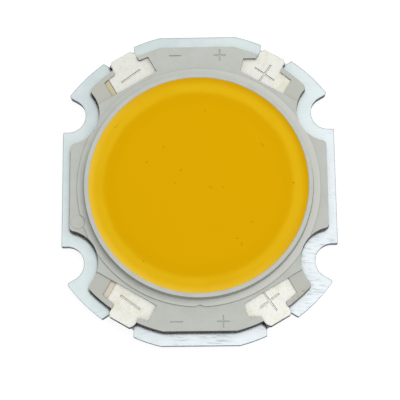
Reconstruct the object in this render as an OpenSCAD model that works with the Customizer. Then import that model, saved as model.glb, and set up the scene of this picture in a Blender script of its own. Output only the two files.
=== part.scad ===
// Round chip-on-board LED with four solder tabs and four open screw slots.
// Frame: millimetres, +Z towards the light, origin at the centre of the plate's back face.
// The left pair of tabs is negative and the right pair is positive.

/* [Base plate] */
// Diameter of the aluminium plate
plate_d = 28; // [27.6:0.2:32]
// Thickness of the plate
plate_t = 0.8; // [0.6:0.1:1.6]
// Distance across the left and right flats
side_flats = 23.6; // [23.4:0.1:25]
// Distance across the top and bottom flats
end_flats = 27.2; // [26.8:0.1:27.6]
// Diameter of the circle that the screw slots lie on
slot_pcd = 26.2; // [26:0.1:27]
// Width of a screw slot
slot_w = 3; // [2.6:0.1:3.2]
// Angle of a screw slot above the side axis, in degrees
slot_angle = 30; // [29:0.5:31]
// Rounding of the plate's rim where it meets a slot
slot_corner_r = 0.2; // [0.1:0.05:0.3]
// Gap between a solder tab and each side of the relief stamped beside it
relief_gap = 0.05; // [0.05:0.05:0.2]
// Extra width of a relief at the rim, on each side
relief_flare = 0.35; // [0.2:0.05:0.5]

/* [Housing] */
// Bare plate between the round rim and the housing
rim_border = 1.12; // [1:0.02:1.4]
// Bare plate between a side flat and the housing
side_border = 0.7; // [0.5:0.05:0.8]
// Bare plate between an end flat and the housing
end_border = 1.1; // [0.9:0.05:1.3]
// Bare plate left for a screw head round each slot
slot_border = 1.22; // [1:0.02:1.3]
// Rounding of the housing's corners beside the slots
corner_r = 0.45; // [0.2:0.05:0.6]
// Draft of the moulded walls, in degrees
draft = 5; // [2:1:8]
// Height of the ground beside the screw slots above the solder pads
lug_rise = 0.12; // [0.05:0.01:0.18]
// Height of the main field above the solder pads
field_rise = 0.25; // [0.2:0.01:0.4]
// Height of the round plateau above the main field
plateau_rise = 0.13; // [0.05:0.01:0.2]
// Width of the plateau round the foot of the ring
plateau_w = 0.58; // [0.4:0.02:0.6]

/* [Light-emitting area] */
// Diameter of the light-emitting area at the lip
les_d = 18.8; // [17:0.1:18.8]
// Width of the flat lip of the ring
lip_w = 0.32; // [0.2:0.02:0.4]
// Height of the ring above the plateau
ring_h = 0.77; // [0.5:0.01:1.2]
// Lean of the ring's outer wall, in degrees
ring_draft = 8; // [3:1:12]
// Lean of the reflector wall inside the ring, in degrees
reflector_lean = 41; // [25:1:43]
// Width of the bonding ledge at the foot of the reflector wall
ledge_w = 0.5; // [0.4:0.05:0.7]
// Drop from the lip to the edge of the gel
gel_drop = 0.05; // [0.02:0.01:0.1]
// Dip of the gel's face below its edge
gel_dip = 0.12; // [0.05:0.01:0.2]
// Radius of the meniscus at the gel's edge
meniscus_r = 1.5; // [1:0.1:2.5]

/* [Leadframes] */
// Thickness of the moulding between the plate and the leads
lead_gap = 0.4; // [0.3:0.05:0.6]
// Thickness of the lead metal
lead_t = 0.2; // [0.15:0.01:0.3]
// Angle of a solder tab above the side axis, in degrees
tab_angle = 60; // [59:0.5:61]
// Distance from the plateau's foot to the straight inner edge of a pad
pad_gap = 0.27; // [0.15:0.01:0.3]
// Distance from a pad's outer shoulders to the housing's round edge
shoulder_border = 0.5; // [0.4:0.02:0.7]
// Reach of a negative pad's arm towards the nearer end flat
end_arm = 2.04; // [1.9:0.02:2.1]
// Reach of a positive pad's arm towards the nearer end flat, along its inner edge
inner_arm = 1.86; // [1.7:0.02:1.9]
// Reach of a pad's arm towards the nearer side flat
side_arm = 2.43; // [2:0.01:2.5]
// Reach of a negative pad's bare metal towards the nearer side flat
short_arm = 1.95; // [1.8:0.01:2]
// Drop from the pads to the moulding's ground beyond that metal
flash_drop = 0.04; // [0.02:0.01:0.06]
// Width of a solder tab's stem
tab_w = 2.4; // [2:0.1:2.6]
// Width of a tab's cut end
tab_end_w = 1.9; // [1.5:0.1:2]
// Length over which a stem narrows to its cut end
tab_taper = 0.35; // [0.2:0.05:0.4]
// Distance from the plate's rim back to a tab's cut end
tab_inset = 0.5; // [0.4:0.05:0.6]
// How far a cut end stands past the plate's relief
tab_overhang = 0.13; // [0.05:0.01:0.2]
// Metal that the moulding covers round the arms of a pad
grip = 0.12; // [0.05:0.01:0.15]
// Metal that the moulding covers at the end of the arm towards an end flat
end_grip = 0.3; // [0.25:0.01:0.35]
// Rounding where an arm meets its stem
crotch_r = 0.2; // [0.1:0.05:0.3]
// Distance from an end wall to the level shoulder of a positive pad
square_shoulder = 1.19; // [1.15:0.01:1.3]
// Slant of the end of that arm, in degrees
end_slant = 16; // [10:1:17]
// Width of the bonding arc behind the ledge, inside the wall
arc_grip = 0.5; // [0.3:0.05:0.7]
// Width of the neck from the arc to a pad
neck_w = 2; // [1.2:0.1:2.4]
// Half of the angle between the two arcs, in degrees
arc_gap_angle = 10; // [6:1:14]

/* [Polarity marks] */
// Length of a mark's stroke on a pad
pad_mark = 2; // [1.2:0.1:2.2]
// Length of a mark's stroke on the housing
body_mark = 1.05; // [0.8:0.05:1.2]
// Width of a stroke on a pad
pad_stroke_w = 0.14; // [0.1:0.01:0.2]
// Depth of a stroke on a pad
pad_stroke_depth = 0.06; // [0.03:0.01:0.08]
// Turn of a pad's mark towards the side flat, in degrees
pad_mark_turn = 6; // [0:1:8]
// Shift of a pad's mark towards the side flat
pad_mark_shift = 0.1; // [0:0.02:0.2]
// Width of a stroke on the housing
body_stroke_w = 0.1; // [0.08:0.01:0.15]
// Depth of a stroke on the housing
body_stroke_depth = 0.05; // [0.03:0.01:0.06]
// Distance of the housing's marks from the middle
mark_x = 1.95; // [1.5:0.05:2.1]
// Distance of the housing's marks from the end wall
mark_border = 0.85; // [0.8:0.05:0.9]

/* [Moulding marks] */
// Diameter of the ejector pin's witness mark
pin_d = 1.16; // [0.8:0.02:1.2]
// Height of the witness mark
pin_rise = 0.03; // [0.02:0.01:0.05]
// Direction of the witness mark from the middle, in degrees
pin_angle = 196.6; // [195:0.2:198]
// Distance of the witness mark's centre outside the plateau's edge
pin_out = 0.35; // [0.3:0.01:0.4]
// Half width of the small V in the plateau's lower edge
vee_w = 0.45; // [0.2:0.05:0.6]
// Depth of the small V
vee_depth = 0.18; // [0.1:0.02:0.25]

/* [Chips and wires] */
// Number of chip strings wired side by side
strings = 8; // [4:1:10]
// Number of chips in a string
chips = 12; // [8:1:12]
// Side of a chip
chip_w = 0.6; // [0.4:0.02:0.64]
// Thickness of a chip
chip_t = 0.15; // [0.1:0.01:0.2]
// Gap between the chips of the shortest strings
chip_gap = 0.29; // [0.2:0.01:0.35]
// Clearance between a chip's corner and the cavity wall
chip_clear = 0.3; // [0.2:0.05:0.5]
// Diameter of a bond wire
wire_d = 0.03; // [0.02:0.005:0.05]
// Distance from a chip's middle to where a wire lands on it
bond_offset = 0.18; // [0.1:0.01:0.2]

/* [Hidden] */
$fn = 128;
eps = 0.01;
far = plate_d;
// A blend's circle is this much larger than drawn, so that it crosses the edges that it joins
seam = 0.004;

plate_r = plate_d / 2;
side_x = side_flats / 2 - side_border;
end_y = end_flats / 2 - end_border;
housing_r = plate_r - rim_border;
slot_r = slot_w / 2;
slot_land_r = slot_r + slot_border;
slot_at = slot_pcd / 2 * [cos(slot_angle), sin(slot_angle)];

lead_z = plate_t + lead_gap;
pad_z = lead_z + lead_t;
lug_z = pad_z + lug_rise;
field_z = pad_z + field_rise;
plateau_z = field_z + plateau_rise;
lip_z = plateau_z + ring_h;
gel_z = lip_z - gel_drop;

les_r = les_d / 2;
ring_top_r = les_r + lip_w;
ring_foot_r = ring_top_r + ring_h * tan(ring_draft);
plateau_r = ring_foot_r + plateau_w;
ledge_r = les_r - (lip_z - pad_z) * tan(reflector_lean);
floor_r = ledge_r - ledge_w;
arc_r = ledge_r + arc_grip;

pad_in = plateau_r + pad_gap;
shoulder_r = housing_r - shoulder_border;
tab_out = plate_r - tab_inset;
relief_at = tab_out - tab_overhang;

pin_at = (plateau_r + pin_out) * [cos(pin_angle), sin(pin_angle)];

chip_top = plate_t + chip_t;
bond_r = (floor_r + ledge_r) / 2;
chip_zone_r = floor_r - chip_clear;
shortest_reach = (chips - 1) * (chip_w + chip_gap) / 2 + chip_w / 2;
outer_row_y = sqrt(pow(chip_zone_r, 2) - pow(shortest_reach, 2)) - chip_w / 2;
row_pitch = 2 * outer_row_y / (strings - 1);

// Place of string i above the middle, and how far its last chip's centre is from the middle
function row_y(i) = (i - (strings + 1) / 2) * row_pitch;
function row_reach(i) =
    sqrt(pow(chip_zone_r, 2) - pow(abs(row_y(i)) + chip_w / 2, 2)) - chip_w / 2;
function chip_x(i, k) = row_reach(i) * (2 * (k - 1) / (chips - 1) - 1);
function landing_x(i) = sqrt(pow(bond_r, 2) - pow(row_y(i), 2));

// Places a shape from the upper right quarter into all four, or into one side's two
module both_ends() {
    children();
    mirror([0, 1, 0]) children();
}
module both_sides() {
    children();
    mirror([1, 0, 0]) children();
}
module four_quarters() both_sides() both_ends() children();

// The frame of the upper right tab: +X runs outwards along the tab, +Y towards the end flat
module at_tab() rotate(tab_angle) children();

// ---- Base plate ----

// One open screw slot: a round end, a radial upper edge and a level lower edge
module slot_2d() {
    upper = slot_at + slot_r * [-sin(slot_angle), cos(slot_angle)];
    lower = slot_at - [0, slot_r];
    translate(slot_at) circle(slot_r + seam);
    polygon([
        slot_at,
        upper,
        upper + far * [cos(slot_angle), sin(slot_angle)],
        lower + [far, 0],
        lower
    ]);
}

// What rounds off the rim's corner beside a slot, in a frame whose +X runs out along the slot
module slot_corner_2d() {
    cy = slot_r + slot_corner_r;
    c = [sqrt(pow(plate_r - slot_corner_r, 2) - pow(cy, 2)), cy];
    difference() {
        polygon([c, [c.x, 0], [far, 0], far * c / norm(c)]);
        translate(c) circle(slot_corner_r + seam);
    }
}

// The relief in the rim behind one tab, in the tab's frame
module relief_2d() {
    inner = tab_w / 2 + relief_gap;
    flare_x = plate_r - relief_at;
    polygon([
        [relief_at, -inner],
        [relief_at + flare_x, -inner - relief_flare],
        [far, -inner - relief_flare],
        [far, inner + relief_flare],
        [relief_at + flare_x, inner + relief_flare],
        [relief_at, inner]
    ]);
}

module base_plate() {
    color([0.84, 0.88, 0.89])
    linear_extrude(plate_t) difference() {
        intersection() {
            circle(plate_r);
            square([side_flats, end_flats], center = true);
        }
        four_quarters() {
            slot_2d();
            rotate(slot_angle) slot_corner_2d();
        }
        four_quarters() at_tab() relief_2d();
    }
}

// ---- Leadframes ----

// Stem of a tab, with its narrowed cut end
module stem_2d(from_x) {
    taper_x = tab_out - tab_taper;
    polygon([
        [from_x, -tab_w / 2],
        [taper_x, -tab_w / 2],
        [tab_out, -tab_end_w / 2],
        [tab_out, tab_end_w / 2],
        [taper_x, tab_w / 2],
        [from_x, tab_w / 2]
    ]);
}

// Arms of a pad: straight inner edge and ends, and round shoulders, grown all round and at one end
module arms_2d(more = 0, end_more = 0) {
    intersection() {
        translate([pad_in - more, -side_arm - more])
            square([shoulder_r, side_arm + more + end_arm + end_more]);
        circle(shoulder_r + more);
    }
}

// What stays of a positive pad's arms: the one towards the end flat has a slanted end and a
// shoulder level with that flat
module positive_arms_2d() {
    intersection() {
        polygon([
            [pad_in, -far],
            [pad_in, inner_arm],
            [pad_in + far, inner_arm + far * tan(end_slant)],
            [pad_in + far, -far]
        ]);
        rotate(-tab_angle) translate([-far, -far]) square([2 * far, far + end_y - square_shoulder]);
        translate([pad_in, -side_arm]) square(far);
        circle(shoulder_r);
    }
}

// Small fillet between a round shoulder and the stem, in the tab's frame
module crotch_2d() {
    cy = tab_w / 2 + crotch_r;
    c = [sqrt(pow(shoulder_r + crotch_r, 2) - pow(cy, 2)), cy];
    difference() {
        polygon([
            c,
            shoulder_r * c / norm(c),
            [pad_in, tab_w / 2],
            [c.x, tab_w / 2]
        ]);
        translate(c) circle(crotch_r + seam);
    }
}

// The opening in the moulding over one pad
module window_2d(positive) {
    if (positive) positive_arms_2d();
    else arms_2d();
    stem_2d(pad_in);
    if (positive) mirror([0, 1, 0]) crotch_2d();
    else both_ends() crotch_2d();
}

// What the short arm of a negative pad leaves free at its side end, in the tab's frame
module short_end_2d() {
    translate([0, -short_arm - far]) square(far);
}

// Lead metal of the right side, as seen from above: two pads, their necks and the bonding arc
module lead_2d(positive) {
    both_ends() at_tab() {
        difference() {
            arms_2d(grip, end_grip);
            if (!positive) short_end_2d();
        }
        stem_2d(pad_in);
        translate([ledge_r, -neck_w / 2]) square([pad_in - ledge_r, neck_w]);
    }
    difference() {
        circle(arc_r);
        circle(floor_r);
        translate([-far, -far]) square([far, 2 * far]);
        both_ends() rotate(90 - arc_gap_angle) square(far);
    }
}

// Lead metal of the right side without its stamped marks
module lead_blank(positive) {
    translate([0, 0, lead_z]) linear_extrude(lead_t) lead_2d(positive);
}

// A minus along Y, or a plus
module mark_2d(length, width, positive) {
    square([width, length], center = true);
    if (positive) square([length, width], center = true);
}

module leadframe(positive) {
    pad_mid = (pad_in + shoulder_r) / 2;
    color([0.92, 0.92, 0.89])
    difference() {
        lead_blank(positive);
        both_ends() at_tab() translate([pad_mid, -pad_mark_shift, pad_z - pad_stroke_depth])
            rotate(-pad_mark_turn) linear_extrude(lead_t)
                mark_2d(pad_mark, pad_stroke_w, positive);
    }
}
module positive_leadframe() leadframe(true);
module negative_leadframe() mirror([1, 0, 0]) leadframe(false);

// ---- Housing ----

// A round drafted block or its cutter: radius at the plate, and which way the draft goes
module drafted_round(r, z_top, way) {
    height = z_top - plate_t;
    translate([0, 0, plate_t]) cylinder(h = height, r1 = r, r2 = r + way * height * tan(draft));
}

// A bar across the part whose two walls lean in by the draft
module drafted_bar(half, z_top) {
    height = z_top - plate_t;
    top = half - height * tan(draft);
    translate([0, 0, plate_t]) rotate([90, 0, 0])
        linear_extrude(far, center = true)
            polygon([[-half, 0], [half, 0], [top, height], [-top, height]]);
}

// Removes what stands outside a rounded corner whose centre is c, between directions u and v
module corner_cut(c, u, v) {
    difference() {
        translate([c.x, c.y, plate_t - eps]) linear_extrude(far)
            polygon([[0, 0], far * u, far * (u + v), far * v]);
        translate([c.x, c.y, 0]) drafted_round(corner_r + seam, plateau_z + eps, -1);
    }
}

// Corner between a screw slot's land and the round edge
module rim_corner_cut() {
    toward_slot = slot_at / norm(slot_at);
    across = [-toward_slot.y, toward_slot.x];
    inner = housing_r - corner_r;
    outer = slot_land_r + corner_r;
    along = (pow(inner, 2) - pow(outer, 2) + pow(norm(slot_at), 2)) / (2 * norm(slot_at));
    c = along * toward_slot + sqrt(pow(inner, 2) - pow(along, 2)) * across;
    corner_cut(c, c / norm(c), (slot_at - c) / norm(slot_at - c));
}

// Corner between a screw slot's land and a side wall
module side_corner_cut() {
    cx = side_x - corner_r;
    cy = slot_at.y - sqrt(pow(slot_land_r + corner_r, 2) - pow(cx - slot_at.x, 2));
    c = [cx, cy];
    corner_cut(c, (slot_at - c) / norm(slot_at - c), [1, 0]);
}

// Outer form: drafted field, plateau and ring, less the lands round the slots
module housing_blank() {
    difference() {
        union() {
            intersection() {
                drafted_round(housing_r, field_z, -1);
                drafted_bar(side_x, field_z);
                rotate(90) drafted_bar(end_y, field_z);
            }
            plateau();
        }
        four_quarters() {
            translate(slot_at) drafted_round(slot_land_r, plateau_z + eps, 1);
            rim_corner_cut();
            side_corner_cut();
        }
    }
    translate([0, 0, plateau_z]) cylinder(h = ring_h, r1 = ring_foot_r, r2 = ring_top_r);
    // tongues that carry the tabs out over the plate
    translate([0, 0, plate_t]) linear_extrude(lead_gap) four_quarters() at_tab()
        translate([shoulder_r, -tab_w / 2]) square([relief_at - shoulder_r, tab_w]);
}

// Round plateau, with the V in its lower edge and the bite round the ejector pin
module plateau() {
    difference() {
        translate([0, 0, plate_t]) cylinder(h = plateau_z - plate_t, r = plateau_r);
        translate([0, 0, field_z]) linear_extrude(far) {
            translate([0, -plateau_r]) polygon([
                [-vee_w, -vee_depth],
                [-vee_w, 0],
                [0, vee_depth],
                [vee_w, 0],
                [vee_w, -vee_depth]
            ]);
            translate(pin_at) circle(d = pin_d + 2 * pin_rise);
        }
    }
}

// The space that the gel and the chips sit in, up to height top_z
module cavity(top_z) {
    top_r = ledge_r + (top_z - pad_z) * tan(reflector_lean);
    translate([0, 0, plate_t]) cylinder(h = pad_z - plate_t, r = floor_r);
    translate([0, 0, pad_z]) cylinder(h = top_z - pad_z, r1 = ledge_r, r2 = top_r);
}

// Sunk ground beside a screw slot, from the tab's stem to the slot
module lug_ground() {
    at_tab() translate([pad_in, -far, lug_z]) cube([far, far - tab_w / 2, far]);
}

module housing() {
    color([0.74, 0.745, 0.73])
    difference() {
        union() {
            housing_blank();
            translate([pin_at.x, pin_at.y, field_z - eps])
                cylinder(h = pin_rise + eps, d = pin_d);
        }
        cavity(lip_z + eps);
        four_quarters() lug_ground();
        translate([0, 0, pad_z]) linear_extrude(far) both_ends() at_tab() window_2d(true);
        mirror([1, 0, 0]) both_ends() at_tab() {
            translate([0, 0, pad_z]) linear_extrude(far) window_2d(false);
            translate([0, 0, pad_z - flash_drop]) linear_extrude(far) intersection() {
                arms_2d();
                short_end_2d();
            }
        }
        lead_blank(true);
        mirror([1, 0, 0]) lead_blank(false);
        both_ends() translate([0, end_y - mark_border, field_z - body_stroke_depth])
            linear_extrude(far) {
                translate([mark_x, 0]) mark_2d(body_mark, body_stroke_w, true);
                translate([-mark_x, 0]) rotate(90) mark_2d(body_mark, body_stroke_w, false);
            }
    }
}

// ---- Chips, wires and gel ----

module chip_string(i) {
    color([0.55, 0.62, 0.72])
    for (k = [1:chips])
        translate([chip_x(i, k) - chip_w / 2, row_y(i) - chip_w / 2, plate_t])
            cube([chip_w, chip_w, chip_t]);
}

// A half ring of wire from one chip to the next, standing on both
module chip_loop(x1, x2) {
    translate([(x1 + x2) / 2, 0, chip_top]) rotate([90, 0, 0])
        rotate_extrude(angle = 180) translate([(x2 - x1) / 2, 0]) circle(d = wire_d, $fn = 8);
}

// A loop that rises straight off a chip at x1 and lands on the ledge at x2
module lead_loop(x1, x2) {
    span = x2 - x1;
    rise = pad_z - chip_top;
    loop_r = (pow(span, 2) + pow(rise, 2)) / (2 * span);
    land_angle = asin(rise / loop_r);
    past = 10;
    difference() {
        translate([x1 + loop_r, 0, chip_top]) rotate([90, 0, 0])
            rotate([0, 0, land_angle - past]) rotate_extrude(angle = 180 - land_angle + past)
                translate([loop_r, 0]) circle(d = wire_d, $fn = 8);
        translate([x1 + loop_r, -chip_w, pad_z - chip_w]) cube([far, 2 * chip_w, chip_w]);
    }
}

module bond_wires(i) {
    color([0.86, 0.68, 0.3])
    translate([0, row_y(i), 0]) {
        for (k = [1:chips - 1])
            chip_loop(chip_x(i, k) + bond_offset, chip_x(i, k + 1) - bond_offset);
        both_sides() lead_loop(chip_x(i, chips) + bond_offset, landing_x(i));
    }
}

// Concave face of the gel: everything above it
module above_gel() {
    edge_r = ledge_r + (gel_z - pad_z) * tan(reflector_lean);
    flat_z = gel_z - gel_dip;
    flat_r = edge_r - sqrt(pow(meniscus_r, 2) - pow(meniscus_r - gel_dip, 2));
    rotate_extrude() {
        translate([0, flat_z]) square([flat_r, far]);
        intersection() {
            translate([flat_r, flat_z + meniscus_r]) circle(meniscus_r);
            translate([flat_r, flat_z - eps]) square([far, meniscus_r + eps]);
        }
    }
}

module phosphor_gel() {
    color([0.87, 0.68, 0.05])
    difference() {
        cavity(gel_z);
        above_gel();
        for (i = [1:strings]) {
            chip_string(i);
            bond_wires(i);
        }
    }
}

base_plate();
housing();
negative_leadframe();
positive_leadframe();
phosphor_gel();
for (i = [1:strings]) {
    chip_string(i);
    bond_wires(i);
}
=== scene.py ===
"""The looks of a round chip-on-board LED: an add-on's operators, run in order as a script.

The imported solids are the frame. Each operator gives one piece its finish, or makes a surface that
stands for a soft piece. All lengths are metres in the frame of the solids: +Z points to the light.
"""

import math

import bpy
import numpy as np
from bpy.props import FloatProperty, FloatVectorProperty, PointerProperty
from mathutils import Matrix, Vector


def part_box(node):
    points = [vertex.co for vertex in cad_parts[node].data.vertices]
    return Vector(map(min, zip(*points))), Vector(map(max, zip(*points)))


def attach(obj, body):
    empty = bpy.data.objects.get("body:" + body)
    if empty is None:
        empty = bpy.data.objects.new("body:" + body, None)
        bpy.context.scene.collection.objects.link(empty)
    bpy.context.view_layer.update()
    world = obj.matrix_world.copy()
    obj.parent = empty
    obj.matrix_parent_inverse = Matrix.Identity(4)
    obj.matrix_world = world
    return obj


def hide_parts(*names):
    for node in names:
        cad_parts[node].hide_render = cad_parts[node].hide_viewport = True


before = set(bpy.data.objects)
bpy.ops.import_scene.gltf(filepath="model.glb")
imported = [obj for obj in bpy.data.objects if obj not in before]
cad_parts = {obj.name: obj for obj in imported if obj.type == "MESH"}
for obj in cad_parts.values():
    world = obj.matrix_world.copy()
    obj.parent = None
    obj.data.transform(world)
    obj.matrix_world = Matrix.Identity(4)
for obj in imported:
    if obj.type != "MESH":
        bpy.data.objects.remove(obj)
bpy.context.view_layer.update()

bl_info = {
    "name": "Chip-on-board LED",
    "version": (1, 0, 0),
    "blender": (4, 5, 0),
    "location": "3D View > Sidebar > COB LED",
    "description": "Finishes and studio for a round chip-on-board LED",
    "category": "Object",
}

MM = 0.001
BODY = "root"


def linear(hex_colour):
    """Scene-linear RGBA of a display colour such as #DDA800."""
    channels = [int(hex_colour[i : i + 2], 16) / 255 for i in (1, 3, 5)]
    return tuple(c / 12.92 if c <= 0.04045 else ((c + 0.055) / 1.055) ** 2.4 for c in channels) + (1.0,)


def colour_prop(name, description, hex_colour):
    """A colour that the panel shows, with a display colour as its default."""
    return FloatVectorProperty(
        name=name, description=description, subtype="COLOR", size=4, min=0, max=1, default=linear(hex_colour)
    )


def length_prop(name, description, millimetres):
    """A length that the panel shows, given in millimetres."""
    return FloatProperty(name=name, description=description, unit="LENGTH", default=millimetres * MM)


def share_prop(name, description, value):
    """A plain factor from 0 to 1."""
    return FloatProperty(name=name, description=description, subtype="FACTOR", min=0, max=1, default=value)


# ---- Sizes ----


# Angle of a soldering tab above the side axis, in degrees
TAB_ANGLE = 60
# Distance of a pad's middle from the axis, and its length along the tab, in millimetres
PAD_MIDDLE = 11.35
PAD_LENGTH = 1.6
# Distance of the resin flash across a left pad from the tab's middle, in millimetres
FLASH_ACROSS = -2.2
# Heights at which the moulding's colour turns from one level to the next, in millimetres
PAD_LEVEL = (1.46, 1.43)
GROUND_LEVEL = (1.6, 1.54)
ABOVE_FIELD = (1.7, 1.76)
BELOW_RING = (2.1, 1.9)
RING_WALL = (1.62, 1.8)
# Lean of the reflector wall that the gel fills, in degrees, and the width of its foot, in millimetres
REFLECTOR_LEAN = 41
GEL_FOOT = 0.5
# Points along the gel's level face, its curved edge and its wall
FACE_POINTS, EDGE_POINTS, WALL_POINTS = 60, 40, 8
# Height of a speck or fibre above the gel's skin, in millimetres
SPECK_HEIGHT = 0.02
# Depth of the floor below the part, in millimetres
FLOOR_DEPTH = 0.02


class Levels:
    """Heights and radii of the part, read from the boxes of its nodes."""

    plate_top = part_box("base_plate")[1].z
    pad_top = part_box("positive_leadframe")[1].z
    gel_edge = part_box("phosphor_gel")[1].z
    gel_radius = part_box("phosphor_gel")[1].x


# ---- Settings ----


class PlateSettings(bpy.types.PropertyGroup):
    metal: colour_prop("Metal", "Colour of the clean aluminium", "#E4F1F0")
    # painted_sheen: aluminium painted brighter as a sheen towards +X and -Y, also used for random brighter
    # patches
    painted_sheen: colour_prop("Rubbed", "Colour of the brighter aluminium near two sides", "#EEF5F8")
    streak: colour_prop("Streak", "Colour of the rolling streaks", "#9FAEB4")
    # cut_wall_shade: painted shade on the upright cut walls
    cut_wall_shade: colour_prop("Cut edge", "Colour of the punched edges", "#39414C")
    # edge_line_shade: a painted dark line along the plate's edges, standing in for the shade of the rounded
    # edge
    edge_line_shade: colour_prop("Burr", "Colour of the thin line along the punched edges", "#5E6C84")
    # shade: colour of the painted shadow that the housing casts on the plate, on the side away from the light
    shade: colour_prop("Shade", "Colour of the grime at the foot of the housing", "#3E3A3A")
    roughness: share_prop("Roughness", "Roughness of the rolled face", 0.42)
    streak_depth: length_prop("Streak depth", "Depth of the rolling streaks", 0.003)


class HousingSettings(bpy.types.PropertyGroup):
    face: colour_prop("Face", "Colour of the moulded faces", "#C2C5BF")
    mottle: colour_prop("Mottle", "Colour of the darker mottling", "#BDBFB8")
    ground: colour_prop("Ground", "Colour of the ground beside the slots", "#BCBEB6")
    # ring_wall_shade: painted shade on the upright faces of the ring
    ring_wall_shade: colour_prop("Ring wall", "Colour of the ring's drafted wall", "#A9A8A2")
    # plateau: a painted highlight, the plateau brighter towards +X
    plateau: colour_prop("Plateau", "Colour of the rubbed plateau on one side of the ring", "#CDCFC8")
    # wall: painted shade, the dark colour of the upright faces low down
    wall: colour_prop("Wall", "Colour of the dark drafted walls", "#47423E")
    stain: colour_prop("Stain", "Colour of the resin stains", "#A99875")
    flash: colour_prop("Flash", "Colour of the resin flash beside the upper pad", "#CEC5A0")
    lower_flash: colour_prop("Lower flash", "Colour of the resin flash beside the lower pad", "#DDD3BF")
    roughness: share_prop("Roughness", "Roughness of the moulding", 0.6)


class LeadSettings(bpy.types.PropertyGroup):
    silver: colour_prop("Silver", "Colour of the silver plating", "#F3F3EC")
    dull: colour_prop("Dull", "Colour of the scuffed plating", "#DADBD6")
    tarnish: colour_prop("Tarnish", "Colour of the faint tarnish", "#EAE9D6")
    flash: colour_prop("Flash", "Colour of the thin resin flash at a pad's end", "#D2C6A2")
    # cut_wall_shade: painted shade on upright faces, edges, tab ends and the upper pad's gap
    cut_wall_shade: colour_prop("Cut edge", "Colour of the sheared edges", "#43454F")
    roughness: share_prop("Roughness", "Roughness of the plating", 0.6)


class GelSettings(bpy.types.PropertyGroup):
    centre: colour_prop("Centre", "Colour of the deep gel over the chips", "#DDA800")
    bench: colour_prop("Bench", "Colour of the gel over the foot of the wall", "#DAA600")
    shallow: colour_prop("Shallow", "Colour of the shallow gel over the wall", "#E2B414")
    # rim: the thin gel's colour at the lip, on its painted lit side towards -X-Y
    rim: colour_prop("Rim", "Colour of the thin gel at the lip, where the fill is low", "#E8BF34")
    # shaded_rim: the rim's colour on its painted shaded side towards +X+Y
    shaded_rim: colour_prop("Full rim", "Colour of the gel at the lip, where the fill is high", "#D8A504")
    dust: colour_prop("Dust", "Colour of the dust on the gel", "#8A6A14")
    dip: length_prop("Dip", "Dip of the gel's face below its edge", 0.12)
    meniscus: length_prop("Meniscus", "Radius of the curved edge", 1.5)
    roughness: share_prop("Roughness", "Roughness of the gel's skin", 0.5)


class InnerSettings(bpy.types.PropertyGroup):
    die: colour_prop("Die", "Colour of the chips", "#7F93B5")
    gold: colour_prop("Gold", "Colour of the bond wires", "#E8C36A")


class StageSettings(bpy.types.PropertyGroup):
    floor: colour_prop("Floor", "Colour of the floor", "#6C6C6C")
    key_power: FloatProperty(name="Key", description="Power of the key softbox", unit="POWER", default=0.3)
    sky: share_prop("Sky", "Light of the room on matt surfaces", 0.56)
    shine: share_prop("Shine", "Light of the room straight above, in reflections", 0.93)
    heading: FloatProperty(
        name="Heading", description="Heading of the camera", subtype="ANGLE", default=math.radians(4.40)
    )
    height: FloatProperty(
        name="Height", description="Elevation of the camera", subtype="ANGLE", default=math.radians(78.31)
    )
    roll: FloatProperty(
        name="Roll", description="Roll of the camera", subtype="ANGLE", default=math.radians(-0.771)
    )
    field: FloatProperty(
        name="Field of view", description="Width of the view", subtype="ANGLE", default=math.radians(20.56)
    )
    distance: length_prop("Distance", "Distance of the camera from its target", 94.75)
    target_x: length_prop("Target X", "Place that the camera looks at", 0.0945)
    target_y: length_prop("Target Y", "Place that the camera looks at", -1.152)
    target_z: length_prop("Target Z", "Place that the camera looks at", 1.0)


# ---- Building a material ----


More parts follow.
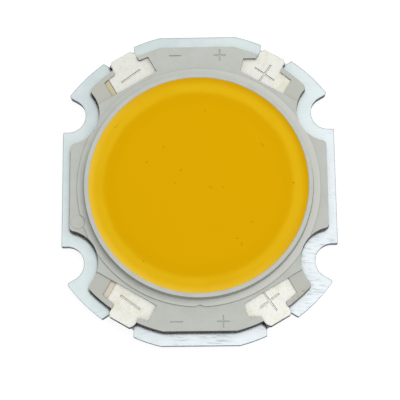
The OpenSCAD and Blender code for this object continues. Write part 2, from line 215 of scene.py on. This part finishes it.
class Recipe:
    """One material's node tree, built with short calls. Values may be numbers, tuples or sockets."""

    def __init__(self, name):
        self.material = bpy.data.materials.new(name)
        self.material.use_nodes = True
        self.tree = self.material.node_tree
        self.tree.nodes.clear()
        self.shader = self.node("ShaderNodeBsdfPrincipled")
        output = self.node("ShaderNodeOutputMaterial")
        self.tree.links.new(self.shader.outputs["BSDF"], output.inputs["Surface"])
        self.place = self.node("ShaderNodeTexCoord").outputs["Object"]
        geometry = self.node("ShaderNodeNewGeometry")
        self.normal_z = self.split(geometry.outputs["Normal"])[2]

    def node(self, kind, **settings):
        """A node of that kind with its plain settings."""
        made = self.tree.nodes.new(kind)
        for key, value in settings.items():
            setattr(made, key, value)
        return made

    def feed(self, socket, value):
        """Links a socket to a socket, or sets its value."""
        if isinstance(value, bpy.types.NodeSocket):
            self.tree.links.new(value, socket)
        else:
            socket.default_value = value

    def set(self, **sockets):
        """Feeds the shader's sockets, named with underscores for spaces."""
        for name, value in sockets.items():
            self.feed(self.shader.inputs[name.replace("_", " ")], value)

    def math(self, operation, a, b=0.0):
        """One arithmetic step."""
        made = self.node("ShaderNodeMath", operation=operation)
        self.feed(made.inputs[0], a)
        self.feed(made.inputs[1], b)
        return made.outputs[0]

    def split(self, vector):
        """The three parts of a vector."""
        made = self.node("ShaderNodeSeparateXYZ")
        self.feed(made.inputs[0], vector)
        return made.outputs

    def step(self, value, low, high):
        """0 below low, 1 above high and smooth between; low may be the larger one."""
        made = self.node("ShaderNodeMapRange", interpolation_type="SMOOTHSTEP", clamp=True)
        self.feed(made.inputs["Value"], value)
        flipped = low > high
        self.feed(made.inputs["From Min"], min(low, high))
        self.feed(made.inputs["From Max"], max(low, high))
        self.feed(made.inputs["To Min"], 1.0 if flipped else 0.0)
        self.feed(made.inputs["To Max"], 0.0 if flipped else 1.0)
        return made.outputs["Result"]

    def level(self, height, limits):
        """A step between two heights in millimetres."""
        return self.step(height, limits[0] * MM, limits[1] * MM)

    def both(self, a, b):
        """The share where two masks meet."""
        return self.math("MULTIPLY", a, b)

    def either(self, a, b):
        """The larger of two masks."""
        return self.math("MAXIMUM", a, b)

    def mix(self, share, a, b):
        """Colour a, turning to b as share goes from 0 to 1."""
        made = self.node("ShaderNodeMix", data_type="RGBA")
        self.feed(made.inputs["Factor"], share)
        self.feed(made.inputs["A"], a)
        self.feed(made.inputs["B"], b)
        return made.outputs["Result"]

    def stretch(self, scale, offset=(0, 0, 0), turn=0.0):
        """Object coordinates moved, turned about Z and scaled."""
        made = self.node("ShaderNodeMapping", vector_type="TEXTURE")
        self.feed(made.inputs["Vector"], self.place)
        made.inputs["Location"].default_value = offset
        made.inputs["Rotation"].default_value = (0, 0, turn)
        made.inputs["Scale"].default_value = scale
        return made.outputs["Vector"]

    def noise(self, size, detail=2.0, roughness=0.5, vector=None):
        """Noise whose lumps are about size across."""
        made = self.node("ShaderNodeTexNoise")
        self.feed(made.inputs["Vector"], self.place if vector is None else vector)
        made.inputs["Scale"].default_value = 1 / size
        made.inputs["Detail"].default_value = detail
        made.inputs["Roughness"].default_value = roughness
        return made.outputs["Fac"]

    def radius(self):
        """Distance from the part's axis."""
        x, y, _ = self.split(self.place)
        squares = self.math("ADD", self.math("POWER", x, 2.0), self.math("POWER", y, 2.0))
        return self.math("SQRT", squares)

    def ramp(self, value, stops):
        """Colours at rising values from 0 to 1, smooth between."""
        made = self.node("ShaderNodeValToRGB")
        self.feed(made.inputs[0], value)
        colours = made.color_ramp
        colours.interpolation = "EASE"
        while len(colours.elements) < len(stops):
            colours.elements.new(1.0)
        for element, (position, colour) in zip(colours.elements, stops):
            element.position, element.color = position, colour
        return made.outputs["Color"]

    def patch(self, x, y, length, width, turn=0.0, soft=0.3):
        """1 inside an oblong patch of the level faces, given in millimetres and degrees, 0 outside."""
        space = self.stretch((length / 2 * MM, width / 2 * MM, 1.0), (x * MM, y * MM, 0), math.radians(turn))
        across, up, _ = self.split(space)
        inside = [self.step(self.math("ABSOLUTE", part), 1 + soft, 1 - soft) for part in (across, up)]
        return self.math("MULTIPLY", *inside)

    def pad_patch(self, across, width, upper, soft):
        """1 in a strip across the left upper or lower pad, that far across from the tab's middle."""
        turn = math.radians(TAB_ANGLE)
        x = -(PAD_MIDDLE * math.cos(turn) - across * math.sin(turn))
        y = PAD_MIDDLE * math.sin(turn) + across * math.cos(turn)
        side = 1 if upper else -1
        return self.patch(x, y * side, PAD_LENGTH, width, turn=-TAB_ANGLE * side, soft=soft)

    def crevice(self, reach, towards=None, light=0.95, dark=0.45):
        """1 deep in a corner, 0 on open ground. With towards, only walls on that side count."""
        made = self.node("ShaderNodeAmbientOcclusion", samples=8)
        made.inputs["Distance"].default_value = reach
        if towards:
            side = self.node("ShaderNodeCombineXYZ")
            for socket, value in zip(side.inputs, towards):
                socket.default_value = value
            self.feed(made.inputs["Normal"], side.outputs[0])
        return self.step(made.outputs["AO"], light, dark)

    def wall(self):
        """1 on upright faces, 0 on level ones."""
        return self.step(self.math("ABSOLUTE", self.normal_z), 0.75, 0.35)

    def soft_normal(self, radius):
        """The normal with edges softened to a radius."""
        made = self.node("ShaderNodeBevel", samples=8)
        made.inputs["Radius"].default_value = radius
        return made.outputs["Normal"]

    def edge(self, radius):
        """1 on a level face beside its edges, 0 further in."""
        upright = self.math("ABSOLUTE", self.split(self.soft_normal(radius))[2])
        return self.step(upright, 0.99, 0.86)

    def relief(self, height, depth, edge_radius=0.0):
        """Bump from a height of 0 to 1, on edges softened to a radius."""
        bump = self.node("ShaderNodeBump")
        bump.inputs["Strength"].default_value = 1.0
        self.feed(bump.inputs["Distance"], depth)
        self.feed(bump.inputs["Height"], height)
        if edge_radius:
            self.feed(bump.inputs["Normal"], self.soft_normal(edge_radius))
        self.feed(self.shader.inputs["Normal"], bump.outputs["Normal"])


def add_object(name, data):
    """A new object in the scene, at the origin."""
    made = bpy.data.objects.new(name, data)
    bpy.context.scene.collection.objects.link(made)
    return made


def dress(node_names, material):
    """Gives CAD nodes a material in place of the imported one."""
    for name in node_names:
        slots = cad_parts[name].data.materials
        slots.clear()
        slots.append(material)


# ---- Materials ----


def rolled_aluminium(settings):
    """Rolled sheet with short fine streaks, mostly near two sides, and random brighter patches; a painted
    sheen towards those two sides, a painted dark line at its edges, painted shade on its cut walls and a
    painted shadow at the foot of the housing.
    """
    recipe = Recipe("rolled_aluminium")
    streak_space = recipe.stretch((0.9 * MM, 0.07 * MM, 0.3 * MM), turn=math.radians(-3))
    streaks = recipe.noise(1.0, detail=3.0, roughness=0.6, vector=streak_space)
    x, y, _ = recipe.split(recipe.place)
    # Painted sheen: side rises towards +X and -Y, where the sheet is painted brighter; the random tint
    # patches add real brighter tone
    side = recipe.step(recipe.math("SUBTRACT", x, y), -4 * MM, 12 * MM)
    patches = recipe.step(recipe.noise(3 * MM, detail=2.0), 0.4, 0.62)
    marked = recipe.both(recipe.step(streaks, 0.5, 0.72), recipe.both(patches, side))
    tint = recipe.step(recipe.noise(2.6 * MM, detail=2.0), 0.42, 0.62)
    painted_sheen = recipe.either(side, recipe.both(tint, 0.6))
    clean = recipe.mix(painted_sheen, tuple(settings.metal), tuple(settings.painted_sheen))
    face = recipe.mix(marked, clean, tuple(settings.streak))
    cloud = recipe.step(recipe.noise(2.2 * MM, detail=3.0), 0.35, 0.75)
    face = recipe.mix(recipe.both(cloud, 0.15), face, tuple(settings.streak))
    # Painted shade: a dark line along the edges of the level faces
    face = recipe.mix(recipe.edge(0.115 * MM), face, tuple(settings.edge_line_shade))
    # Painted shadow: occlusion towards +X+Y darkens the plate on the far side of walls from the light, as a
    # cast shadow
    foot = recipe.crevice(0.32 * MM, towards=(0.5, 0.72, 0.5), light=0.68, dark=0.5)
    face = recipe.mix(foot, face, tuple(settings.shade))
    recipe.set(
        # Painted shade: every upright face takes the dark cut-wall colour
        Base_Color=recipe.mix(recipe.wall(), face, tuple(settings.cut_wall_shade)),
        Metallic=1.0,
        Roughness=recipe.math("ADD", settings.roughness, recipe.math("MULTIPLY", streaks, 0.12)),
    )
    recipe.relief(streaks, settings.streak_depth, edge_radius=0.05 * MM)
    return recipe.material


def grey_moulding(settings):
    """Filled thermoset: faint mottling, fine grain, painted shade on its walls and in its corners, a painted
    highlight on one side of the plateau, resin flash beside the left pads and a tan stain by one slot.
    """
    recipe = Recipe("grey_moulding")
    mottle = recipe.step(recipe.noise(1.1 * MM, detail=5.0, roughness=0.6), 0.35, 0.7)
    grain = recipe.noise(0.07 * MM, detail=2.0)
    face = recipe.mix(mottle, tuple(settings.face), tuple(settings.mottle))
    height = recipe.split(recipe.place)[2]
    # Painted highlight: the raised plateau is painted brighter towards +X, its lit side
    raised = recipe.both(recipe.level(height, ABOVE_FIELD), recipe.level(height, BELOW_RING))
    painted_sheen = recipe.both(raised, recipe.step(recipe.split(recipe.place)[0], -9 * MM, 8 * MM))
    face = recipe.mix(painted_sheen, face, tuple(settings.plateau))
    face = recipe.mix(recipe.level(height, GROUND_LEVEL), face, tuple(settings.ground))
    sunk = recipe.level(height, PAD_LEVEL)
    upper = recipe.both(sunk, recipe.pad_patch(FLASH_ACROSS, 0.6, upper=True, soft=0.1))
    lower = recipe.both(sunk, recipe.pad_patch(FLASH_ACROSS, 0.6, upper=False, soft=0.1))
    face = recipe.mix(upper, face, tuple(settings.flash))
    face = recipe.mix(lower, face, tuple(settings.lower_flash))
    # Painted shade: occlusion darkens corners a little, and the gap beside the upper pad's flash strongly
    strip_gap_shade = recipe.both(recipe.crevice(0.09 * MM), upper)
    crevice_shade = recipe.either(recipe.both(recipe.crevice(0.12 * MM), 0.15), strip_gap_shade)
    crevice_shaded = recipe.mix(crevice_shade, face, tuple(settings.wall))
    blots = recipe.step(recipe.noise(0.3 * MM, detail=2.0), 0.35, 0.7)
    near_slot = recipe.patch(8.75, -9.35, 2.4, 0.5, turn=42, soft=0.6)
    stain = recipe.both(recipe.both(blots, near_slot), 0.75)
    stained = recipe.mix(stain, crevice_shaded, tuple(settings.stain))
    # Painted shade: upright faces are darkened, most of all below the ring
    side = recipe.mix(recipe.level(height, RING_WALL), tuple(settings.wall), tuple(settings.ring_wall_shade))
    recipe.set(
        Base_Color=recipe.mix(recipe.wall(), stained, side),
        Roughness=settings.roughness,
        Specular_IOR_Level=0.2,
    )
    recipe.relief(grain, 0.002 * MM, edge_radius=0.05 * MM)
    return recipe.material


def matt_silver(settings):
    """Matt silver plating with faint warm tarnish and scuffs, resin flash on one end of a pad, and painted
    shade on its upright faces, along its edges, at the tab ends and in the upper pad's gap.
    """
    recipe = Recipe("matt_silver")
    smudges = recipe.step(recipe.noise(0.9 * MM, detail=4.0, roughness=0.6), 0.5, 0.75)
    grain = recipe.noise(0.06 * MM, detail=3.0)
    scuffs = recipe.step(recipe.noise(0.22 * MM, detail=4.0, roughness=0.65), 0.45, 0.75)
    plated = recipe.mix(recipe.both(scuffs, 0.5), tuple(settings.silver), tuple(settings.dull))
    face = recipe.mix(smudges, plated, tuple(settings.tarnish))
    upper_flash = recipe.pad_patch(FLASH_ACROSS, 0.44, upper=True, soft=0.1)
    lower_flash = recipe.pad_patch(FLASH_ACROSS, 0.5, upper=False, soft=0.9)
    flash = recipe.either(upper_flash, recipe.both(lower_flash, 0.8))
    face = recipe.mix(flash, face, tuple(settings.flash))
    # Painted shade: a thin line in the upper pad's gap, a dark line along the edges and the tab ends facing
    # -Y
    line = recipe.pad_patch(-1.95, 0.05, upper=True, soft=0.5)
    front = recipe.step(recipe.split(recipe.soft_normal(0.26 * MM))[1], -0.1, -0.3)
    tab_end = recipe.both(front, recipe.step(recipe.radius(), 12.8 * MM, 13.1 * MM))
    painted_edge_shade = recipe.either(recipe.either(recipe.edge(0.05 * MM), line), tab_end)
    face = recipe.mix(painted_edge_shade, face, tuple(settings.cut_wall_shade))
    recipe.set(
        # Painted shade: every upright face takes the dark edge colour
        Base_Color=recipe.mix(recipe.wall(), face, tuple(settings.cut_wall_shade)),
        Metallic=recipe.math("SUBTRACT", 1.0, flash),
        Roughness=settings.roughness,
    )
    recipe.relief(grain, 0.003 * MM, edge_radius=0.03 * MM)
    return recipe.material


def phosphor_silicone(settings):
    """Yellow gel: amber over the chips, a darker bench, then paler over the reflector wall; at the rim,
    painted light on the lower left and painted shade on the upper right; a fine skin.
    """
    recipe = Recipe("phosphor_silicone")
    waver = recipe.both(recipe.math("SUBTRACT", recipe.noise(2.5 * MM, detail=3.0), 0.5), 0.35 * MM)
    out = recipe.math("DIVIDE", recipe.math("ADD", recipe.radius(), waver), Levels.gel_radius)
    centre, bench = tuple(settings.centre), tuple(settings.bench)
    rings = [(0.0, centre), (0.72, centre), (0.78, bench), (0.83, bench), (0.89, tuple(settings.shallow))]
    x, y, _ = recipe.split(recipe.place)
    # Painted light and shade: the rim is paler towards -X-Y, which faces the light, and darker towards +X+Y
    rim_shade = recipe.step(recipe.math("ADD", x, y), -8 * MM, 10 * MM)
    rim = recipe.mix(rim_shade, tuple(settings.rim), tuple(settings.shaded_rim))
    body = recipe.mix(recipe.step(out, 0.92, 1.0), recipe.ramp(out, rings), rim)
    cloud = recipe.both(recipe.step(recipe.noise(3.0 * MM, detail=4.0), 0.4, 0.8), 0.3)
    recipe.set(
        Base_Color=recipe.mix(cloud, body, bench),
        Roughness=settings.roughness,
        Specular_IOR_Level=0.02,
    )
    recipe.relief(recipe.noise(0.15 * MM, detail=3.0), 0.002 * MM)
    return recipe.material


def dark_dust(settings):
    """Dust settled in the gel's skin: the gel's colour gone brown, unevenly."""
    recipe = Recipe("dark_dust")
    uneven = recipe.noise(0.06 * MM, detail=2.0)
    recipe.set(
        Base_Color=recipe.mix(uneven, tuple(settings.dust), tuple(settings.bench)),
        Roughness=0.8,
        Specular_IOR_Level=0.1,
    )
    recipe.relief(uneven, 0.002 * MM)
    return recipe.material


def sapphire_die(settings):
    """Polished chips with thin gold contact fingers along X."""
    recipe = Recipe("sapphire_die")
    fingers = recipe.step(recipe.noise(1.0, vector=recipe.stretch((0.4 * MM, 0.09 * MM, 1.0))), 0.55, 0.6)
    recipe.set(
        Base_Color=recipe.mix(fingers, tuple(settings.die), linear("#D9C48A")),
        Roughness=0.15,
        Coat_Weight=0.4,
    )
    recipe.relief(fingers, 0.001 * MM)
    return recipe.material


def drawn_gold(settings):
    """Fine gold wire with a drawn, slightly uneven surface."""
    recipe = Recipe("drawn_gold")
    drawn = recipe.noise(0.02 * MM, detail=2.0)
    recipe.set(Base_Color=tuple(settings.gold), Metallic=1.0, Roughness=recipe.step(drawn, -0.4, 1.6))
    recipe.relief(drawn, 0.0005 * MM)
    return recipe.material


# ---- Surfaces ----


def piece_from_grid(name, points, material):
    """An object from one grid of points of shape (rows, columns, 3), or from a stack of such grids.

    Rows run along the profile and columns round it. The first and last rows may be single points
    repeated: their doubles are merged, so the surface is closed there.
    """
    *_, rows, columns, _ = points.shape
    index = np.arange(points.size // 3).reshape(-1, rows, columns)
    right = np.roll(index, -1, axis=2)
    quads = np.stack([index[:, :-1], right[:, :-1], right[:, 1:], index[:, 1:]], axis=-1).reshape(-1, 4)
    mesh = bpy.data.meshes.new(name)
    mesh.from_pydata(points.reshape(-1, 3), [], quads)
    made = add_object(name, mesh)
    merge_doubles(made)
    mesh.shade_smooth()
    mesh.materials.append(material)
    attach(made, BODY)
    return made


def merge_doubles(made, reach=1e-7):
    """Merges points closer than reach and turns all faces outwards."""
    import bmesh

    work = bmesh.new()
    work.from_mesh(made.data)
    bmesh.ops.remove_doubles(work, verts=work.verts, dist=reach)
    bmesh.ops.recalc_face_normals(work, faces=work.faces)
    work.to_mesh(made.data)
    work.free()


def meniscus_run(settings):
    """Width of the curved edge: the run of an arc of the meniscus's radius that climbs by the dip."""
    return math.sqrt(settings.meniscus**2 - (settings.meniscus - settings.dip) ** 2)


def meniscus_rise(settings, into_edge):
    """Height of the curved edge above the level face, that far into it."""
    return settings.meniscus - np.sqrt(settings.meniscus**2 - into_edge**2)


def gel_profile(settings):
    """Radius and height along the gel's section, from the middle of its face to the middle of its foot.

    The face is level, then rises as a circular meniscus of the given radius to the edge. From there
    the section goes down the leaning wall to the foot.
    """
    edge, top = Levels.gel_radius, Levels.gel_edge
    low = top - settings.dip
    run = meniscus_run(settings)
    level_r = np.linspace(0, 1, FACE_POINTS) ** 0.8 * (edge - run)
    rise_r = edge - run + run * np.linspace(0, 1, EDGE_POINTS)[1:]
    rise_z = low + meniscus_rise(settings, rise_r - edge + run)
    wall_z = np.linspace(top, Levels.pad_top, WALL_POINTS)[1:]
    wall_r = edge - (top - wall_z) * math.tan(math.radians(REFLECTOR_LEAN))
    foot_r = wall_r[-1] - GEL_FOOT * MM
    radius = np.concatenate([level_r, rise_r, wall_r, [foot_r, foot_r, 0]])
    foot_z = [Levels.pad_top, Levels.plate_top, Levels.plate_top]
    height = np.concatenate([np.full(FACE_POINTS, low), rise_z, wall_z, foot_z])
    return radius, height


def gel_points(settings, columns=360):
    """The section turned round the axis, x = r cos t and y = r sin t, with a faint ripple on the face."""
    radius, height = gel_profile(settings)
    turn = np.linspace(0, 2 * np.pi, columns, endpoint=False)
    x = radius[:, None] * np.cos(turn)
    y = radius[:, None] * np.sin(turn)
    face = (height > Levels.gel_edge - 1.05 * settings.dip) & (radius < Levels.gel_radius - 0.02 * MM)
    fade = np.where(face, np.clip((Levels.gel_radius - radius) / (0.5 * MM), 0, 1), 0)
    ripple = np.sin(x / (1.9 * MM) + 1.3 * np.sin(y / (2.7 * MM))) * np.cos(y / (2.2 * MM) + 0.8)
    z = height[:, None] + fade[:, None] * ripple * 0.003 * MM
    return np.stack([x, y, z], axis=-1)


# Number, lengths and widths of the specks and of the fibres on the gel, in millimetres
SPECKS = (9, (0.12, 0.2), (0.07, 0.11))
FIBRES = (5, (0.3, 0.5), (0.04, 0.05))
# Start of the random scatter, and the part of the gel's radius that it covers
DUST_SEED = 5
DUST_REACH = 0.96


def scattered_dust():
    """Radius, angle, length, width and turn of each speck and fibre, spread evenly over the gel's face."""
    draw = np.random.default_rng(DUST_SEED)
    kinds = []
    for count, lengths, widths in (SPECKS, FIBRES):
        out = Levels.gel_radius * DUST_REACH * np.sqrt(draw.uniform(0, 1, count))
        angle = draw.uniform(0, 2 * np.pi, count)
        length, width = draw.uniform(*lengths, count) * MM, draw.uniform(*widths, count) * MM
        kinds.append(np.array([out, angle, length, width, draw.uniform(0, np.pi, count)]))
    return np.concatenate(kinds, axis=1)


def speck_points(settings, rows=7, columns=10):
    """Flat ellipsoids half sunk in the gel: a sin u cos v, b sin u sin v, c cos u, turned about Z."""
    out, angle, length, width, turn = (column[:, None, None] for column in scattered_dust())
    u = np.linspace(0, np.pi, rows)[None, :, None]
    v = np.linspace(0, 2 * np.pi, columns, endpoint=False)[None, None, :]
    along = length / 2 * np.sin(u) * np.cos(v)
    across = width / 2 * np.sin(u) * np.sin(v)
    into_edge = np.clip(out - Levels.gel_radius + meniscus_run(settings), 0, None)
    top = Levels.gel_edge - settings.dip + meniscus_rise(settings, into_edge)
    return np.stack(
        [
            out * np.cos(angle) + along * np.cos(turn) - across * np.sin(turn),
            out * np.sin(angle) + along * np.sin(turn) + across * np.cos(turn),
            top + SPECK_HEIGHT * MM * np.cos(u) + 0 * along,
        ],
        axis=-1,
    )


# ---- Operators ----


class LED_OT_base_plate(bpy.types.Operator):
    """Gives the plate its rolled aluminium finish"""

    bl_idname = "led.base_plate"
    bl_label = "Base plate"

    def execute(self, context):
        dress(["base_plate"], rolled_aluminium(context.scene.led_plate))
        return {"FINISHED"}


class LED_OT_housing(bpy.types.Operator):
    """Gives the housing its moulded finish"""

    bl_idname = "led.housing"
    bl_label = "Housing"

    def execute(self, context):
        dress(["housing"], grey_moulding(context.scene.led_housing))
        return {"FINISHED"}


class LED_OT_leadframes(bpy.types.Operator):
    """Gives both leadframes their matt silver plating"""

    bl_idname = "led.leadframes"
    bl_label = "Leadframes"

    def execute(self, context):
        dress(["negative_leadframe", "positive_leadframe"], matt_silver(context.scene.led_leads))
        return {"FINISHED"}


class LED_OT_gel(bpy.types.Operator):
    """Makes the phosphor gel's smooth face and finish"""

    bl_idname = "led.gel"
    bl_label = "Phosphor gel"

    def execute(self, context):
        settings = context.scene.led_gel
        made = piece_from_grid(
            "gel_disc", gel_points(settings), phosphor_silicone(settings)
        )
        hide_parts("phosphor_gel")
        return {"FINISHED"}


class LED_OT_specks(bpy.types.Operator):
    """Makes the dust specks and fibres on the gel"""

    bl_idname = "led.specks"
    bl_label = "Specks"

    def execute(self, context):
        material = dark_dust(context.scene.led_gel)
        piece_from_grid("dust_specks", speck_points(context.scene.led_gel), material)
        return {"FINISHED"}


class LED_OT_inner(bpy.types.Operator):
    """Gives the sealed chips and wires their finish"""

    bl_idname = "led.inner"
    bl_label = "Chips and wires"

    def execute(self, context):
        settings = context.scene.led_inner
        names = sorted(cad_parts)
        dress([n for n in names if n.startswith("chip_string")], sapphire_die(settings))
        dress([n for n in names if n.startswith("bond_wires")], drawn_gold(settings))
        return {"FINISHED"}


class LED_OT_stage(bpy.types.Operator):
    """Makes the floor, the softbox, the room light and the camera"""

    bl_idname = "led.stage"
    bl_label = "Studio"

    def execute(self, context):
        settings = context.scene.led_stage
        floor(settings)
        softbox("key_softbox", settings.key_power, heading=52, height=70, distance=0.24, side=0.15)
        room_light(settings)
        camera(settings)
        context.scene.view_settings.view_transform = "Standard"
        return {"FINISHED"}


# ---- Stage ----


def pale_ray(tree):
    """1 for camera, glossy and transmission rays, to which the floor is pale."""
    path = tree.nodes.new("ShaderNodeLightPath")
    total = path.outputs["Is Camera Ray"]
    for name in ("Is Glossy Ray", "Is Transmission Ray"):
        step = tree.nodes.new("ShaderNodeMath")
        step.operation = "MAXIMUM"
        tree.links.new(total, step.inputs[0])
        tree.links.new(path.outputs[name], step.inputs[1])
        total = step.outputs[0]
    return total


def floor(settings, half=0.6):
    """A level square under the part, matt, with light of its own towards the camera and in reflections."""
    low = -FLOOR_DEPTH * MM
    corners = np.array([[-half, -half, low], [half, -half, low], [half, half, low], [-half, half, low]])
    mesh = bpy.data.meshes.new("floor")
    mesh.from_pydata(corners, [], [(0, 1, 2, 3)])
    made = add_object("floor", mesh)
    recipe = Recipe("pale_floor")
    recipe.set(Base_Color=tuple(settings.floor), Roughness=0.9, Specular_IOR_Level=0.0)
    glow = recipe.math("MULTIPLY", pale_ray(recipe.tree), 0.9)
    recipe.feed(recipe.shader.inputs["Emission Color"], (1, 1, 1, 1))
    recipe.feed(recipe.shader.inputs["Emission Strength"], glow)
    mesh.materials.append(recipe.material)


def pointing(back, roll=0.0):
    """Rotation of a camera or lamp whose back faces that way, rolled about it."""
    back = back.normalized()
    right = (Vector((1, 0, 0)) - back * back.x).normalized()
    up = back.cross(right)
    across = right * math.cos(roll) + up * math.sin(roll)
    upward = up * math.cos(roll) - right * math.sin(roll)
    return Matrix((across, upward, back)).transposed()


def softbox(name, power, heading, height, distance, side):
    """A square area lamp aimed at the part, from a heading east of north and a height, in degrees."""
    lamp = bpy.data.lights.new(name, "AREA")
    lamp.size = side
    lamp.energy = power
    made = add_object(name, lamp)
    east, up = math.radians(heading), math.radians(height)
    back = Vector((math.sin(east) * math.cos(up), math.cos(east) * math.cos(up), math.sin(up)))
    made.matrix_world = Matrix.Translation(back * distance) @ pointing(back).to_4x4()
    made.visible_glossy = False


def room_light(settings):
    """A room that the camera sees white. Reflections are stronger from +X and -Y and a little from above;
    matt light is even.
    """
    world = bpy.data.worlds.new("room")
    bpy.context.scene.world = world
    world.use_nodes = True
    tree = world.node_tree
    background = tree.nodes["Background"]
    background.inputs["Color"].default_value = (1, 1, 1, 1)

    def mixed(share, low, high):
        made = tree.nodes.new("ShaderNodeMix")
        for name, value in {"Factor": share, "A": low, "B": high}.items():
            socket = made.inputs[name]
            if isinstance(value, bpy.types.NodeSocket):
                tree.links.new(value, socket)
            else:
                socket.default_value = value
        return made.outputs["Result"]

    slope = tree.nodes.new("ShaderNodeVectorMath")
    slope.operation = "DOT_PRODUCT"
    tree.links.new(tree.nodes.new("ShaderNodeTexCoord").outputs["Generated"], slope.inputs[0])
    slope.inputs[1].default_value = (0.9, -0.7, 0.15)
    level = tree.nodes.new("ShaderNodeMapRange")
    tree.links.new(slope.outputs["Value"], level.inputs["Value"])
    for name, value in {"From Min": -0.4, "From Max": 0.4, "To Min": 0.6, "To Max": 1.55}.items():
        level.inputs[name].default_value = value
    path = tree.nodes.new("ShaderNodeLightPath")
    shine = mixed(settings.shine, 0.0, level.outputs["Result"])
    seen = mixed(path.outputs["Is Glossy Ray"], settings.sky, shine)
    seen = mixed(path.outputs["Is Transmission Ray"], seen, 1.0)
    tree.links.new(mixed(path.outputs["Is Camera Ray"], seen, 1.0), background.inputs["Strength"])


def camera(settings):
    """Camera at its heading, height and distance from the target, with its roll and field of view."""
    lens = bpy.data.cameras.new("camera")
    lens.lens_unit = "FOV"
    lens.angle = settings.field
    lens.clip_start, lens.clip_end = settings.distance * 0.05, settings.distance * 50
    made = add_object("camera", lens)
    heading, height = settings.heading, settings.height
    back = Vector(
        (math.sin(heading) * math.cos(height), -math.cos(heading) * math.cos(height), math.sin(height))
    )
    target = Vector((settings.target_x, settings.target_y, settings.target_z))
    made.matrix_world = (
        Matrix.Translation(target + back * settings.distance) @ pointing(back, settings.roll).to_4x4()
    )
    bpy.context.scene.camera = made


# ---- Panel and registration ----


class LED_PT_panel(bpy.types.Panel):
    """The part's operators and settings in the sidebar"""

    bl_idname = "LED_PT_panel"
    bl_label = "COB LED"
    bl_space_type = "VIEW_3D"
    bl_region_type = "UI"
    bl_category = "COB LED"

    def draw(self, context):
        for key, (group, operators) in SECTIONS.items():
            box = self.layout.box()
            for operator in operators:
                box.operator(operator.bl_idname)
            settings = getattr(context.scene, key)
            for name in group.__annotations__:
                box.prop(settings, name)


SECTIONS = {
    "led_plate": (PlateSettings, [LED_OT_base_plate]),
    "led_housing": (HousingSettings, [LED_OT_housing]),
    "led_leads": (LeadSettings, [LED_OT_leadframes]),
    "led_gel": (GelSettings, [LED_OT_gel, LED_OT_specks]),
    "led_inner": (InnerSettings, [LED_OT_inner]),
    "led_stage": (StageSettings, [LED_OT_stage]),
}
OPERATORS = [operator for _, operators in SECTIONS.values() for operator in operators]


def register():
    """Registers the settings, the operators and the panel."""
    for key, (group, _) in SECTIONS.items():
        bpy.utils.register_class(group)
        setattr(bpy.types.Scene, key, PointerProperty(type=group))
    for operator in OPERATORS:
        bpy.utils.register_class(operator)
    bpy.utils.register_class(LED_PT_panel)


def unregister():
    """Removes what register made, in the opposite order."""
    bpy.utils.unregister_class(LED_PT_panel)
    for operator in reversed(OPERATORS):
        bpy.utils.unregister_class(operator)
    for key, (group, _) in reversed(SECTIONS.items()):
        delattr(bpy.types.Scene, key)
        bpy.utils.unregister_class(group)


def main():
    """Registers the classes and makes every piece in order."""
    register()
    bpy.ops.led.base_plate()
    bpy.ops.led.housing()
    bpy.ops.led.leadframes()
    bpy.ops.led.gel()
    bpy.ops.led.specks()
    bpy.ops.led.inner()
    bpy.ops.led.stage()


if __name__ == "__main__":
    main()
